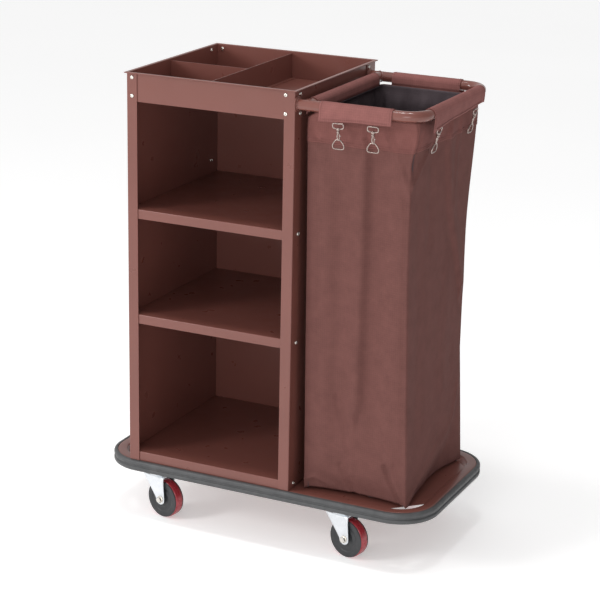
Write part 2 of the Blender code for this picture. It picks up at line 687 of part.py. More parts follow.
def make_hooks():
    """Snap hooks between each flap's hem and the rings on the bag, two to a flap."""
    half, bottom = HOOK_WIDTH / 2, -HOOK_LENGTH
    upper = [(-half, -2 * MM), (half, -2 * MM), (half, -7 * MM), (0.62 * half, -13 * MM),
             (-0.62 * half, -13 * MM), (-half, -7 * MM)]
    lower = [(-0.55 * half, bottom), (0.55 * half, bottom), (half, bottom + 6 * MM), (0.2 * half, bottom + 21 * MM),
             (-0.2 * half, bottom + 21 * MM), (-half, bottom + 6 * MM)]
    for side, (axis, out, middle, start) in flap_lines().items():
        hinge_line = TUBE_RADIUS + FLAP_CLEARANCE + CLOTH / 2 - HEM_PULLS[side]
        for number, (along, below) in enumerate(HOOK_PLACES[side], 1):
            name = "hook_" + side + "_" + str(number)
            across = middle + out * hinge_line
            place_at = (start + along, across) if axis == "X" else (across, start + along)
            turn = {"front": 0, "back": math.pi, "left": -math.pi / 2, "right": math.pi / 2}[side]
            matrix = (Matrix.Translation((*place_at, TUBE_HEIGHT - below))
                      @ Matrix.Rotation(turn, 4, "Z") @ Matrix.Rotation(math.radians(HOOK_LEANS[side]), 4, "X"))
            hook = place(name, wire_loop(name, upper, HOOK_WIRE), "steel", matrix=matrix)
            stem_outline = [(-2.6 * MM, -2.2 * MM), (2.6 * MM, -2.2 * MM), (2.6 * MM, 2.2 * MM), (-2.6 * MM, 2.2 * MM)]
            stem = guide(name + "_stem", prism("stem", stem_outline, "Z", bottom + 20 * MM, -12 * MM), None)
            loop = guide(name + "_loop", wire_loop("loop", lower, HOOK_WIRE), None)
            stem.matrix_basis = matrix
            loop.matrix_basis = matrix
            join(hook, [stem, loop])


def main():
    for item in list(bpy.data.objects):
        bpy.data.objects.remove(item, do_unlink=True)
    make_base_ring()
    make_bumper()
    make_deck()
    make_caster_channels()
    make_casters()
    make_posts()
    make_panels()
    make_shelves()
    tray = make_tray()
    make_dividers()
    make_tray_screws(tray)
    make_bag_frame()
    make_flaps()
    make_bag()
    make_hooks()


main()
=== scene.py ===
"""Looks for the housekeeping cart: steel cabinet, bag frame, hanging cloth bag, bumpered base and casters."""
import math

import bpy
from mathutils import Matrix, Vector

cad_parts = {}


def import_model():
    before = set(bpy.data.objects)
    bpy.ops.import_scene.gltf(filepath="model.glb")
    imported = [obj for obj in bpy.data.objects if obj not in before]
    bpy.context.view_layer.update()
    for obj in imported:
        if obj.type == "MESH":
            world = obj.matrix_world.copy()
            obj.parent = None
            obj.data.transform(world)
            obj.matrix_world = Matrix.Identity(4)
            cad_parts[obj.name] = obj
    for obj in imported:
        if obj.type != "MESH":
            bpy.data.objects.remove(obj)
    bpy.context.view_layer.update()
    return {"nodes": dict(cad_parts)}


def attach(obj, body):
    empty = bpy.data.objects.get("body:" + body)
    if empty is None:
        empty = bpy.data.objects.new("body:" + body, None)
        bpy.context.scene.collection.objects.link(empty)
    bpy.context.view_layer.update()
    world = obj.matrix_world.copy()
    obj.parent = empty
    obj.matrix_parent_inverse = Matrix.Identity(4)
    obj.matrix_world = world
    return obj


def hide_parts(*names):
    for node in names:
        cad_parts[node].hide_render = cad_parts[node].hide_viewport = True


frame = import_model()

MM = 0.001
NODES = frame["nodes"]
# How far the cabinet's left side and front are from the origin, and the ring's top above the floor, in mm.
CABINET_LEFT, CABINET_FRONT, RING_TOP = 361, 230, 158.3


def world(x, y, z):
    """A place given in mm from the cabinet's left side, its front and the base ring's top."""
    return Vector(((x - CABINET_LEFT) * MM, (y - CABINET_FRONT) * MM, (z + RING_TOP) * MM))


# ---------------------------------------------------------------- camera and light

def make_camera():
    """A long lens, looking down on the cart from its front right."""
    azimuth, elevation, roll = math.radians(25.5), math.radians(17.5), math.radians(1.12)
    target, distance, lens = world(365.2, 225, 418.1), 4.8465, 115.86
    back = Vector((math.sin(azimuth) * math.cos(elevation), -math.cos(azimuth) * math.cos(elevation),
                   math.sin(elevation)))
    right = Vector((math.cos(azimuth), math.sin(azimuth), 0))
    up = back.cross(right)
    across = right * math.cos(roll) + up * math.sin(roll)
    upward = up * math.cos(roll) - right * math.sin(roll)
    data = bpy.data.cameras.new("camera")
    data.lens, data.sensor_width = lens, 36
    data.clip_start, data.clip_end = 0.1, 100
    camera = bpy.data.objects.new("camera", data)
    bpy.context.scene.collection.objects.link(camera)
    turn = Matrix((across, upward, back)).transposed().to_4x4()
    camera.matrix_world = Matrix.Translation(target + back * distance) @ turn
    bpy.context.scene.camera = camera


def area_light(name, place, target, size, power):
    data = bpy.data.lights.new(name, "AREA")
    data.shape = "RECTANGLE"
    data.size, data.size_y = size
    data.energy = power
    light = bpy.data.objects.new(name, data)
    bpy.context.scene.collection.objects.link(light)
    light.location = place
    light.rotation_mode = "QUATERNION"
    light.rotation_quaternion = (Vector(target) - Vector(place)).to_track_quat("-Z", "Y")


def make_light():
    """A studio that is brightest on the left, with a key, a fill and two small lamps overhead."""
    scene = bpy.context.scene
    scene.view_settings.view_transform = "Standard"
    scene.view_settings.look = "None"
    surroundings = bpy.data.worlds.new("studio")
    scene.world = surroundings
    surroundings.use_nodes = True
    tree = surroundings.node_tree
    tree.nodes["Background"].inputs["Color"].default_value = (1.0, 1.0, 1.0, 1)
    direction = tree.nodes.new("ShaderNodeTexCoord")
    slope = tree.nodes.new("ShaderNodeVectorMath")
    slope.operation = "DOT_PRODUCT"
    slope.inputs[1].default_value = (-0.34, -0.12, -0.22)
    level = tree.nodes.new("ShaderNodeMath")
    level.operation = "ADD"
    level.inputs[1].default_value = 0.78
    tree.links.new(direction.outputs["Generated"], slope.inputs[0])
    tree.links.new(slope.outputs["Value"], level.inputs[0])
    tree.links.new(level.outputs[0], tree.nodes["Background"].inputs["Strength"])
    area_light("key", (-2.6, -2.9, 2.2), (0, 0, 0.7), (1.0, 1.0), 52)
    area_light("fill", (0.9, -4.0, 1.3), (0, 0, 0.6), (2.0, 1.4), 34)
    area_light("overhead_left", (-0.30, -0.45, 3.3), (0, 0, 0.9), (0.35, 0.35), 11)
    area_light("overhead_right", (0.45, -0.40, 3.3), (0, 0, 0.9), (0.35, 0.35), 11)


# ---------------------------------------------------------------- materials

class Nodes:
    """Short names for building one material."""

    def __init__(self, name):
        self.material = bpy.data.materials.new(name)
        self.material.use_nodes = True
        self.tree = self.material.node_tree
        self.shader = self.tree.nodes["Principled BSDF"]

    def add(self, kind, **inputs):
        node = self.tree.nodes.new(kind)
        for key, value in inputs.items():
            self.put(node, key.replace("_", " "), value)
        return node

    def put(self, node, socket, value):
        if isinstance(value, bpy.types.NodeSocket):
            self.tree.links.new(value, node.inputs[socket])
        else:
            node.inputs[socket].default_value = value

    def coordinates(self, kind="Object"):
        return self.add("ShaderNodeTexCoord").outputs[kind]

    def noise(self, scale, detail=3.0, where=None, roughness=0.5):
        node = self.add("ShaderNodeTexNoise", Scale=scale, Detail=detail, Roughness=roughness)
        self.put(node, "Vector", where or self.coordinates())
        return node.outputs["Fac"]

    def spread(self, value, low, high, start=0.3, end=0.7):
        node = self.add("ShaderNodeMapRange", Value=value)
        for key, number in (("From Min", start), ("From Max", end), ("To Min", low), ("To Max", high)):
            node.inputs[key].default_value = number
        return node.outputs["Result"]

    def mix(self, amount, a, b):
        node = self.tree.nodes.new("ShaderNodeMix")
        node.data_type = "RGBA"
        self.put(node, 0, amount)
        self.put(node, 6, a)
        self.put(node, 7, b)
        return node.outputs[2]

    def maths(self, how, a, b=0.0):
        node = self.tree.nodes.new("ShaderNodeMath")
        node.operation = how
        self.put(node, 0, a)
        self.put(node, 1, b)
        return node.outputs[0]

    def bump(self, height, strength, distance, under=None):
        node = self.add("ShaderNodeBump", Strength=strength, Distance=distance, Height=height)
        if under is not None:
            self.put(node, "Normal", under)
        return node.outputs["Normal"]

    def finish(self, **inputs):
        for key, value in inputs.items():
            self.put(self.shader, key.replace("_", " "), value)
        return self.material


def colour(r, g, b):
    return (r, g, b, 1.0)


def shaded(base, factor, more=0.0):
    """A colour made lighter or darker, at most white."""
    return colour(*(min(1.0, c * factor + more) for c in base))


def powder_coat(name, base, rough=(0.27, 0.36)):
    """Semi-gloss powder coat: fine orange peel, faint patches, light grains and an uneven gloss."""
    m = Nodes(name)
    peel = m.noise(900, 2.0)
    patch = m.noise(5, 3.0)
    shade = m.mix(m.spread(patch, 0, 1), shaded(base, 0.95), shaded(base, 1.06))
    grain = m.spread(m.noise(1500, 1.0), 0.0, 0.10, 0.45, 0.75)
    shade = m.mix(grain, shade, shaded(base, 1.5))
    return m.finish(Base_Color=shade, Roughness=m.spread(m.noise(22, 4.0), *rough),
                    Normal=m.bump(peel, 0.10, 0.0002), Specular_IOR_Level=0.5)


def woven(name, base, accent, thread=0.0011, rough=0.9, depth=0.35, grid=0.0055, mottle=0.10):
    """Plain weave with a faint grid of thicker threads and slubs; UV is metres along the cloth."""
    m = Nodes(name)
    uv = m.coordinates("UV")

    def bands(period, direction, distortion):
        wave = m.add("ShaderNodeTexWave", Scale=0.314 / period, Distortion=distortion, Detail=1.0, Vector=uv)
        wave.bands_direction = direction
        return wave.outputs["Fac"]

    threads = m.mix(0.5, bands(thread, "X", 0.6), bands(thread, "Y", 0.6))
    ribs = m.maths("MAXIMUM", m.spread(bands(grid, "X", 0.9), 0, 1, 0.82, 1.0),
                   m.spread(bands(grid, "Y", 0.9), 0, 1, 0.82, 1.0))
    grain = m.maths("ADD", m.maths("MULTIPLY", m.noise(1400, 2.0, uv), 0.5), threads)
    blotch = m.spread(m.noise(30, 5.0, roughness=0.65), 0, 1, 0.34, 0.66)
    shade = m.mix(blotch, shaded(base, 1 - mottle), shaded(base, 1 + mottle))
    shade = m.mix(m.spread(threads, 0.0, 0.3, 0.35, 0.8), shade, colour(*accent))
    shade = m.mix(m.maths("MULTIPLY", ribs, 0.16), shade, shaded(base, 1.6))
    slub = m.spread(m.noise(180, 3.0, uv), 0.0, 0.22, 0.55, 0.75)
    shade = m.mix(slub, shade, shaded(base, 1.45))
    fine = m.bump(grain, depth, 0.0003)
    return m.finish(Base_Color=shade, Roughness=rough, Specular_IOR_Level=0.12,
                    Normal=m.bump(m.noise(75, 4.0), 0.35, 0.0015, fine))


def metal(name, base, rough, fine=400, strength=0.08):
    """Plated metal with dull stains and fine scratches."""
    m = Nodes(name)
    stain = m.noise(45, 4.0)
    shade = m.mix(m.spread(stain, 0, 1), shaded(base, 0.86), colour(*base))
    return m.finish(Base_Color=shade, Metallic=1.0, Roughness=m.spread(m.noise(fine, 3.0), *rough),
                    Normal=m.bump(m.noise(fine * 2, 2.0), strength, 0.0002))


def moulded(name, base, rough, fine=700, strength=0.15, coat=0.0):
    """Moulded rubber or plastic with pale scuffs."""
    m = Nodes(name)
    scuff = m.noise(30, 5.0, roughness=0.7)
    shade = m.mix(m.spread(scuff, 0, 1, 0.4, 0.8), colour(*base), shaded(base, 1.35, 0.01))
    m.shader.inputs["Coat Weight"].default_value = coat
    return m.finish(Base_Color=shade, Roughness=m.spread(m.noise(fine / 8, 3.0), *rough),
                    Normal=m.bump(m.noise(fine, 2.0), strength, 0.0002))


def floor_material():
    m = Nodes("floor_material")
    shade = m.mix(m.spread(m.noise(0.6, 2.0), 0, 1), colour(0.93, 0.93, 0.93), colour(0.95, 0.95, 0.95))
    return m.finish(Base_Color=shade, Roughness=0.9, Specular_IOR_Level=0.0,
                    Emission_Color=colour(1, 1, 1), Emission_Strength=0.32)


BROWN = (0.170, 0.060, 0.047)
BROWN_COAT = powder_coat("brown_powder_coat", BROWN)
TUBE_COAT = powder_coat("brown_tube_coat", BROWN, (0.15, 0.22))
CLOTH = woven("brown_cloth", (0.138, 0.059, 0.052), (0.106, 0.044, 0.038))
BAND_CLOTH = woven("brown_band_cloth", (0.176, 0.070, 0.062), (0.135, 0.052, 0.046))
FLAP_CLOTH = woven("brown_flap_cloth", (0.225, 0.092, 0.084), (0.180, 0.070, 0.064))
LINING = woven("grey_lining", (0.082, 0.063, 0.070), (0.048, 0.038, 0.043), depth=0.2)
THREAD = woven("brown_thread", (0.165, 0.070, 0.062), (0.12, 0.05, 0.045))
ZINC = metal("zinc_plate", (0.80, 0.83, 0.86), (0.26, 0.40))
STEEL = metal("plated_steel", (0.78, 0.75, 0.70), (0.16, 0.30))
NICKEL = metal("nickel_wire", (0.40, 0.32, 0.29), (0.20, 0.34))
RUBBER = moulded("bumper_rubber", (0.055, 0.056, 0.058), (0.42, 0.6))
CORE = moulded("wheel_plastic", (0.019, 0.020, 0.022), (0.38, 0.52))
TREAD = moulded("red_polyurethane", (0.29, 0.020, 0.030), (0.22, 0.34), strength=0.05, coat=0.3)


# ---------------------------------------------------------------- mesh helpers

def put(name, mesh, material, body="cart", matrix=None, smooth=40):
    """One finished piece, riding on a body."""
    mesh.materials.clear()
    mesh.materials.append(material)
    if smooth:
        mesh.shade_smooth()
        mesh.set_sharp_from_angle(angle=math.radians(smooth))
    item = bpy.data.objects.new(name, mesh)
    bpy.context.scene.collection.objects.link(item)
    if matrix is not None:
        item.matrix_world = matrix
    bpy.context.view_layer.update()
    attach(item, body)
    return item


def mesh_of(name, points, faces, uvs=None):
    """A mesh of points and faces, with one UV place for each point."""
    mesh = bpy.data.meshes.new(name)
    mesh.from_pydata([tuple(p) for p in points], [], faces)
    mesh.validate()
    if uvs is not None:
        layer = mesh.uv_layers.new(name="cloth")
        for loop in mesh.loops:
            layer.data[loop.index].uv = uvs[loop.vertex_index]
    mesh.update()
    return mesh


def skin(name, rows, around=False, ring=False, caps=False, uvs=None):
    """Quads through rows of points; around closes each row, ring joins the last row to the first."""
    count = len(rows[0])
    points = [p for row in rows for p in row]
    faces = []
    last = len(rows) if ring else len(rows) - 1
    for i in range(last):
        j = (i + 1) % len(rows)
        for k in range(count if around else count - 1):
            n = (k + 1) % count
            faces.append((i * count + k, i * count + n, j * count + n, j * count + k))
    if caps:
        faces.append(tuple(reversed(range(count))))
        faces.append(tuple(range((len(rows) - 1) * count, len(rows) * count)))
    return mesh_of(name, points, faces, uvs)


def joined(name, meshes):
    """Several meshes as one."""
    points, faces = [], []
    start = 0
    for mesh in meshes:
        points += [v.co.copy() for v in mesh.vertices]
        faces += [tuple(start + i for i in p.vertices) for p in mesh.polygons]
        start += len(mesh.vertices)
    return mesh_of(name, points, faces)


def circle(count):
    """The cosine and sine of angles spaced evenly round a circle."""
    angles = [2 * math.pi * k / count for k in range(count)]
    return [(math.cos(a), math.sin(a)) for a in angles]


def lathe(name, profile, axis="Y", steps=64, closed=True):
    """Turn a profile of (along, radius) points in mm about an axis."""
    profile = [(along * MM, radius * MM) for along, radius in profile]
    rows = []
    for cosine, sine in circle(steps):
        row = []
        for along, radius in profile:
            u, v = radius * cosine, radius * sine
            row.append(Vector({"X": (along, u, v), "Y": (v, along, u), "Z": (u, v, along)}[axis]))
        rows.append(row)
    return skin(name, rows, around=closed, ring=True)


def tube(name, path, radius, sides=24, closed=False):
    """A round tube through points; the ring of each point turns as little as it can."""
    path = [Vector(p) for p in path]
    count = len(path)
    rows, side = [], None
    for k, point in enumerate(path):
        before = path[k - 1] if closed or k else path[0]
        after = path[(k + 1) % count] if closed or k < count - 1 else path[-1]
        along = (after - before).normalized()
        if side is None:
            side = along.orthogonal().normalized()
        side = (side - along * side.dot(along)).normalized()
        other = along.cross(side)
        size = radius(k / (count - 1)) if callable(radius) else radius
        rows.append([point + (side * cosine + other * sine) * size for cosine, sine in circle(sides)])
    return skin(name, rows, around=True, ring=closed, caps=not closed)


def arc(cx, cy, radius, start, end, steps):
    """Points along an arc from one angle to another, in degrees."""
    angles = [math.radians(start + (end - start) * k / steps) for k in range(steps + 1)]
    return [(cx + radius * math.cos(a), cy + radius * math.sin(a)) for a in angles]


def bevel(item, width, segments=2, angle=35):
    change = item.modifiers.new("bevel", "BEVEL")
    change.width = width
    change.segments = segments
    change.limit_method = "ANGLE"
    change.angle_limit = math.radians(angle)


def soften_cad(name, material, width=0.0006):
    """A CAD node as it is, with welded corners, fine rounded edges and a real finish."""
    item = NODES[name]
    item.data.materials.clear()
    item.data.materials.append(material)
    weld = item.modifiers.new("weld", "WELD")
    weld.merge_threshold = 0.00002
    if width:
        bevel(item, width)
    bpy.context.view_layer.update()


# ---------------------------------------------------------------- cabinet

COATED = ("post_", "side_panel", "back_panel", "tray", "caster_channel", "deck_plate")


def make_cabinet():
    """The CAD's sheet metal, which is kept and painted."""
    for name in NODES:
        coated = name.startswith(COATED) or name.endswith("_shelf")
        if coated and not name.startswith("tray_screw"):
            soften_cad(name, BROWN_COAT)


def screw_mesh(name, radius=4.8 * MM, height=2.6 * MM):
    """A pan head with a cross recess, standing on its XZ plane and looking along -Y."""
    dome = ((1.0, 0.0), (1.0, 0.35), (0.93, 0.62), (0.78, 0.82), (0.55, 0.95), (0.42, 1.0), (0.30, 1.0),
            (0.12, 1.0))
    rows = []
    for r, h in dome:
        row = []
        for cosine, sine in circle(24):
            in_cross = r <= 0.42 and min(abs(cosine), abs(sine)) < 0.3
            depth = 0.45 if in_cross else 0.0
            row.append(Vector((radius * r * cosine, -height * (h - depth), radius * r * sine)))
        rows.append(row)
    return skin(name, rows, around=True, caps=True)


TRAY_SCREWS = (986, 941)
SCREW_LEVELS = TRAY_SCREWS + (650, 378, 12)


def make_screws():
    """Round-headed screws on the posts' outer faces, in the tray and on the left wall inside."""
    quarter = Matrix.Rotation(math.radians(90), 4, "Z")
    half = Matrix.Rotation(math.radians(180), 4, "Z")
    three = Matrix.Rotation(math.radians(-90), 4, "Z")
    still = Matrix.Identity(4)
    places = []
    for z in TRAY_SCREWS:
        places += [("front_left", 15, 0, z, still), ("front_right", 426, 0, z, still)]
    for z in SCREW_LEVELS:
        places += [("right_front", 450, 28, z, quarter), ("left_front", 0, 28, z, three)]
        places += [("right_rear", 450, 420, z, quarter), ("left_rear", 0, 420, z, three)]
        places += [("rear_left", 16, 460, z, half), ("rear_right", 434, 460, z, half)]
    places += [("tray_inner_left", 3.8, 422, 986, quarter), ("tray_inner_back", 18, 456.2, 986, still)]
    for y in (36, 422):
        places.append(("inner_left", 3.8, y, 694, quarter))
    heads = {}
    for name, x, y, z, turn in places:
        head = screw_mesh("head")
        head.transform(Matrix.Translation(world(x, y, z)) @ turn)
        heads.setdefault(name, []).append(head)
    for name, group in heads.items():
        mesh = joined("screws_" + name, group)
        item = put("screws_" + name, mesh, STEEL, smooth=50)
        if name.startswith("front_"):
            screw = "tray_screw_" + name[len("front_"):]
            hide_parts(screw + "_upper", screw + "_lower")


# ---------------------------------------------------------------- base

HALF_LENGTH, HALF_DEPTH, BASE_CORNER, BASE_BOTTOM = 448, 238, 105, 130.3
BUMPER_INSET, RING_INSET = 9.3, 9.6


def base_loop(inset, steps=20):
    """Points and outward directions along the base's rounded outline."""
    loop = []
    half_x, half_y, r = (size * MM - inset for size in (HALF_LENGTH, HALF_DEPTH, BASE_CORNER))
    for sx, sy, start in ((1, -1, -90), (1, 1, 0), (-1, 1, 90), (-1, -1, 180)):
        for k in range(steps + 1):
            a = math.radians(start + 90 * k / steps)
            out = Vector((math.cos(a), math.sin(a), 0))
            loop.append((Vector((sx * (half_x - r), sy * (half_y - r), 0)) + out * r, out))
    return loop


def sweep_base(name, inset, profile):
    """Sweep a profile of (out, up) points in mm round the base."""
    rows = []
    for point, out in base_loop(inset * MM):
        rows.append([point + out * (a * MM) + Vector((0, 0, (BASE_BOTTOM + b) * MM)) for a, b in profile])
    return skin(name, rows, around=True, ring=True)


def make_base():
    """The rubber bumper with its groove, and the steel ring that holds it."""
    ribs = [(0, 0), (4.6, 0), (6.8, 0.5), (8.2, 1.6), (9.0, 3.2), (9.3, 5), (9.3, 7.6), (8.9, 9.6),
            (8.0, 11.0), (6.4, 11.6), (6.0, 12.2), (6.0, 15.0), (6.4, 15.8), (8.1, 16.4), (9.0, 18.0),
            (9.3, 20.2), (9.2, 22.6), (8.6, 24.6), (7.4, 26.2), (5.8, 27.3), (3.8, 27.8), (0, 27.8)]
    mesh = sweep_base("bumper_strip", BUMPER_INSET, ribs)
    bumper = put("bumper_strip", mesh, RUBBER, smooth=60)
    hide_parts("bumper")
    w, h, t, r = 25, 28, 2, 3.2
    ring = [(0, 0), (0, h - r), *arc(-r, h - r, r, 0, 90, 5)[1:], *arc(-w + r, h - r, r, 90, 180, 5), (-w, 0),
            (-w + t, 0), (-w + t, h - t), (-t, h - t), (-t, 0)]
    mesh = sweep_base("steel_ring", RING_INSET, ring)
    item = put("steel_ring", mesh, BROWN_COAT, smooth=35)
    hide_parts("base_ring")


# ---------------------------------------------------------------- casters

TRAIL, AXLE_Z = 25.0, 50.0


def fork_sheet():
    """The pressed fork: two tapering legs and the crown between them, as one bent sheet."""
    side, bend, crown, foot, rounding, taper_end = 20.0, 5.0, 110.5, 36.2, 14, 106
    crown_low, crown_high = -33, 35
    straight = crown - bend - foot
    half = [(-side, foot + straight * k / 24) for k in range(25)]
    half += arc(-side + bend, crown - bend, bend, 180, 90, 6)[1:]
    half += [(-(side - bend) * (1 - k / 4), crown) for k in range(1, 5)]
    grid = []
    for y, z in half + [(-y, z) for y, z in reversed(half[:-1])]:
        if z < AXLE_Z:
            reach = math.sqrt(max(rounding ** 2 - (AXLE_Z - z) ** 2, 0.5))
            low, high = TRAIL - reach, TRAIL + reach
        else:
            share = min((z - AXLE_Z) / (taper_end - AXLE_Z), 1)
            low, high = TRAIL - rounding, TRAIL + rounding
            low += (crown_low - low) * share ** 1.05
            high += (crown_high - high) * share
        grid.append([Vector((low + (high - low) * k / 8, y, z)) * MM for k in range(9)])
    return grid


def make_fork(corner, swivel):
    """The fork's sheet, with the ball race on top of it."""
    body = "fork_" + corner
    fork = put("fork_sheet_" + corner, skin("fork_sheet", fork_sheet()), ZINC, body, swivel)
    thick = fork.modifiers.new("sheet", "SOLIDIFY")
    thick.thickness, thick.offset = 3 * MM, 0
    bevel(fork, 0.7 * MM)
    race = [(109, 7), (109, 22), (110, 24), (112.2, 25.2), (114.6, 28.0), (118.0, 28.8), (119.4, 28.0),
            (119.6, 26.6), (120.2, 26.4), (120.6, 27.8), (122, 28.4), (125, 27), (126.4, 24), (126.6, 7)]
    put("ball_race_" + corner, lathe("ball_race", race, "Z", 48), ZINC, body, swivel)
    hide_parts("caster_fork_" + corner)


def make_wheel(corner, axle):
    """The tread and the core with its two discs."""
    body = "wheel_" + corner
    tread = [(-11.6, 38.4), (-11.8, 46.6), (-11.2, 48.6), (-9.6, 49.7), (-6, 50), (6, 50), (9.6, 49.7),
             (11.2, 48.6), (11.8, 46.6), (11.6, 38.4)]
    tyre = put("tyre_" + corner, lathe("tyre", tread, steps=72), TREAD, body, axle)
    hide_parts("wheel_tread_" + corner)
    half = [(17, 6.4), (17, 11.2), (16.4, 12), (13.6, 12.6), (13.2, 14), (13.2, 21), (13.8, 22), (13.8, 24),
            (13.2, 25), (13.2, 32), (13.6, 33.4), (14.6, 34.4), (15, 35.6), (15, 46.8), (14.6, 48.2),
            (13.6, 48.6), (12.3, 48.4), (12.1, 47), (12.1, 38.1)]
    core = lathe("wheel_disc", half + [(-a, b) for a, b in reversed(half)], steps=72)
    disc = put("wheel_disc_" + corner, core, CORE, body, axle)
    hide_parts("wheel_core_" + corner)


def make_axle_bolt(corner, axle):
    """A shank with a washer at each end, a hexagon head on one and a nut on the other."""
    washer = [(-21.8, 5.2), (-21.8, 9.6), (-22.9, 9.9), (-23.1, 8.2), (-23.1, 6)]
    meshes = [lathe("washer", washer, steps=40), lathe("washer", [(-a, b) for a, b in washer], steps=40)]
    face, across = 23.1, 8.0
    for side, tall in ((-1, 5.6), (1, 6.4)):
        rows = []
        for out, r in ((face, across), (face + tall - 1, across), (face + tall, 7.2), (face + tall, 4.0)):
            rows.append([Vector((r * cosine, side * out, r * sine)) * MM for cosine, sine in circle(6)])
        meshes.append(skin("hex", rows, around=True, caps=True))
    meshes.append(tube("shank", [Vector((0, -29, 0)) * MM, Vector((0, 31, 0)) * MM], 4 * MM, 20))
    mesh = joined("axle_bolt_set", meshes)
    bolt = put("axle_bolt_set_" + corner, mesh, STEEL, "fork_" + corner, axle, 35)
    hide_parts("axle_bolt_" + corner)


def make_caster(corner, x, y):
    swivel = Matrix.Translation(world(x, y, -RING_TOP)) @ Matrix.Rotation(math.radians(-15), 4, "Z")
    axle = swivel @ Matrix.Translation((TRAIL * MM, 0, AXLE_Z * MM))
    make_fork(corner, swivel)
    soften_cad("caster_plate_" + corner, ZINC, 0)
    make_wheel(corner, axle)
    make_axle_bolt(corner, axle)


def make_casters():
    for depth, y in (("front", 53), ("rear", 407)):
        for side, x in (("left", 55), ("right", 573)):
            make_caster(depth + "_" + side, x, y)


# ---------------------------------------------------------------- bag frame

# Tube axes and sizes in mm: their height and radius, the rail's three sides and bend, and the cross rail.
TUBE_Z, TUBE_R = 965, 12.7
FRONT_Y, BACK_Y, RIGHT_X, CROSS_X, BEND = 11, 424, 761, 479, 48


def make_rails():
    """The bent rail, and the cross rail whose ends are cut to fit round it."""
    flat = [(453.6, FRONT_Y), (460, FRONT_Y), *arc(RIGHT_X - BEND, FRONT_Y + BEND, BEND, -90, 0, 20),
            *arc(RIGHT_X - BEND, BACK_Y - BEND, BEND, 0, 90, 20), (460, BACK_Y), (453.6, BACK_Y)]
    mesh = tube("bag_rail", [world(x, y, TUBE_Z) for x, y in flat], TUBE_R * MM, 40)
    rail = put("bag_rail", mesh, TUBE_COAT)
    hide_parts("bag_frame_tube")
    steps, gap = 40, 0.4
    rows = []
    for k in range(steps + 1):
        row = []
        for cosine, sine in circle(40):
            reach = TUBE_R * abs(cosine) - gap
            start, end = FRONT_Y + reach, BACK_Y - reach
            along = start + (end - start) * k / steps
            row.append(world(CROSS_X + TUBE_R * cosine, along, TUBE_Z + TUBE_R * sine))
        rows.append(row)
    cross = put("cross_rail", skin("cross_rail", rows, around=True), TUBE_COAT)
    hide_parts("bag_cross_tube")


def make_weld_beads():
    """Rippled beads where the cross rail meets the rail, and where the rail meets its flanges."""
    beads = []
    saddle, collar = TUBE_R + 0.5, 13.2
    for end, y in ((1, FRONT_Y), (-1, BACK_Y)):
        ring = []
        for cosine, sine in circle(48):
            reach = TUBE_R * abs(cosine) + 0.4
            ring.append(world(CROSS_X + saddle * cosine, y + end * reach, TUBE_Z + saddle * sine))
        beads.append(tube("bead", ring, lambda s: (1.5 + 0.25 * math.sin(60 * s)) * MM, 8, closed=True))
        ring = [world(453.9, y + collar * cosine, TUBE_Z + collar * sine) for cosine, sine in circle(48)]
        beads.append(tube("bead", ring, lambda s: (1.6 + 0.25 * math.sin(70 * s)) * MM, 8, closed=True))
    put("weld_beads", joined("weld_beads", beads), BROWN_COAT)


def make_flanges():
    profile = [(0, 4), (0, 18.2), (0.5, 18.8), (1.2, 19), (2.2, 18.9), (2.8, 18.4), (3.0, 17.6), (3.0, 12)]
    for depth, y in (("front", FRONT_Y), ("rear", BACK_Y)):
        item = put("round_flange_" + depth, lathe("flange", profile, "X", 56), BROWN_COAT,
                   matrix=Matrix.Translation(world(450.3, y, TUBE_Z)))
        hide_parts("tube_flange_" + depth)


# ---------------------------------------------------------------- bag

def smooth_step(x, a, b):
    s = min(max((x - a) / (b - a), 0.0), 1.0)
    return s * s * (3 - 2 * s)


MOUTH_Z, FOOT_Z = 950.0, -1.6


def bag_corners(z):
    """The bag's four corners at a height, in mm: front left, front right, back right, back left."""
    under = smooth_step(z, 950, 932)
    down = min(max(1 - z / 945, 0.0), 1.0)
    front = 25.5 + 4.5 * under + 10 * down
    back = 409 + under - 3 * down
    left = 491 - 23.5 * under + 5 * down
    right = 746.5 + 1.5 * under - 2 * down
    pull_front = 14 * smooth_step(z, 930, 840) * min(max(z / 560, 0.0), 1.0)
    pull_back = 16 * smooth_step(z, 940, 600) * min(max(z / 300, 0.0), 1.0)
    return (left, front), (right - pull_front, front), (right - pull_back, back), (left, back)


def corner_radius(z):
    """The corners are rounder at the mouth, and nearly sharp below it."""
    return 15 - 9 * smooth_step(z, 945, 900)


def crease(s, z, line, width, height, skew=0.0):
    """Height of a soft fold along a line of (place, z) points, both in mm; skew sharpens one flank."""
    best, side = 1e9, 0.0
    for (s0, z0), (s1, z1) in zip(line, line[1:]):
        ds, dz = s1 - s0, z1 - z0
        length = ds * ds + dz * dz
        k = min(max(((s - s0) * ds + (z - z0) * dz) / length, 0.0), 1.0)
        away_s, away_z = s - (s0 + ds * k), z - (z0 + dz * k)
        distance = math.hypot(away_s, away_z)
        if distance < best:
            best, side = distance, math.copysign(1.0, away_s)
    reach = width * (1 + skew * side)
    return height * math.exp(-(best / reach) ** 2)


